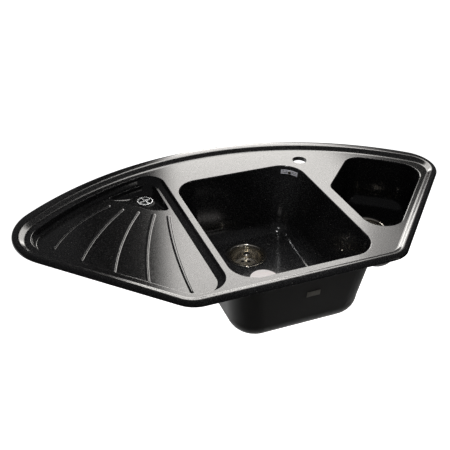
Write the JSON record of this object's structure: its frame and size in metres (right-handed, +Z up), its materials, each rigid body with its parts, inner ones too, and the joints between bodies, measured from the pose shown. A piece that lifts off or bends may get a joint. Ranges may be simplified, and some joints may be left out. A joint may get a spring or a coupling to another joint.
{
  "type": "corner kitchen sink",
  "caption": "Inset corner kitchen sink of stone composite: ribbed drainer with sump, main bowl, half bowl, basket wastes, overflow and the hoses beneath.",
  "frame": {"origin": "middle of the sink's front edge, at the height of the worktop that the rim lies on", "axes": "+X to the right along the front edge, +Y to the back corner, +Z up"},
  "size_m": [1.0423, 0.5899, 0.2786],
  "materials": {
    "stone_composite": "satin, fine grained black",
    "stainless_steel": "pressed and polished",
    "chrome": "plated",
    "rubber": "moulded",
    "white_plastic": "moulded polypropylene",
    "grey_plastic": "moulded, flexible where it is a hose",
    "paper": "blank, matt"
  },
  "bodies": {
    "sink": {"sink_moulding": "stone_composite", "main_flange_seal": "rubber", "main_strainer_cup": "stainless_steel", "main_waste_screw": "stainless_steel", "main_under_gasket": "rubber", "main_waste_body": "white_plastic", "main_outlet_washer": "rubber", "main_outlet_nut": "white_plastic", "half_flange_seal": "rubber", "half_strainer_cup": "stainless_steel", "half_waste_screw": "stainless_steel", "half_under_gasket": "rubber", "half_waste_body": "white_plastic", "half_outlet_washer": "rubber", "half_outlet_nut": "white_plastic", "sump_grid": "chrome", "sump_grid_screw": "chrome", "sump_gasket": "rubber", "sump_waste_body": "white_plastic", "overflow_plate": "stainless_steel", "overflow_screw": "stainless_steel", "overflow_gasket": "rubber", "overflow_duct": "grey_plastic", "overflow_hose": "grey_plastic", "sump_hose": "grey_plastic", "floor_label": "paper", "front_plate": "paper"},
    "main_basket_set": {"main_basket": "stainless_steel", "main_stopper": "rubber", "main_basket_knob": "stainless_steel"},
    "half_basket_set": {"half_basket": "stainless_steel", "half_stopper": "rubber", "half_basket_knob": "stainless_steel"}
  },
  "joints": [
    {"name": "main_basket_lift", "type": "slide", "parent": "sink", "child": "main_basket_set", "axis": [0, 0, 1], "range_m": [0, 0.06]},
    {"name": "half_basket_lift", "type": "slide", "parent": "sink", "child": "half_basket_set", "axis": [0, 0, 1], "range_m": [0, 0.06]}
  ]
}
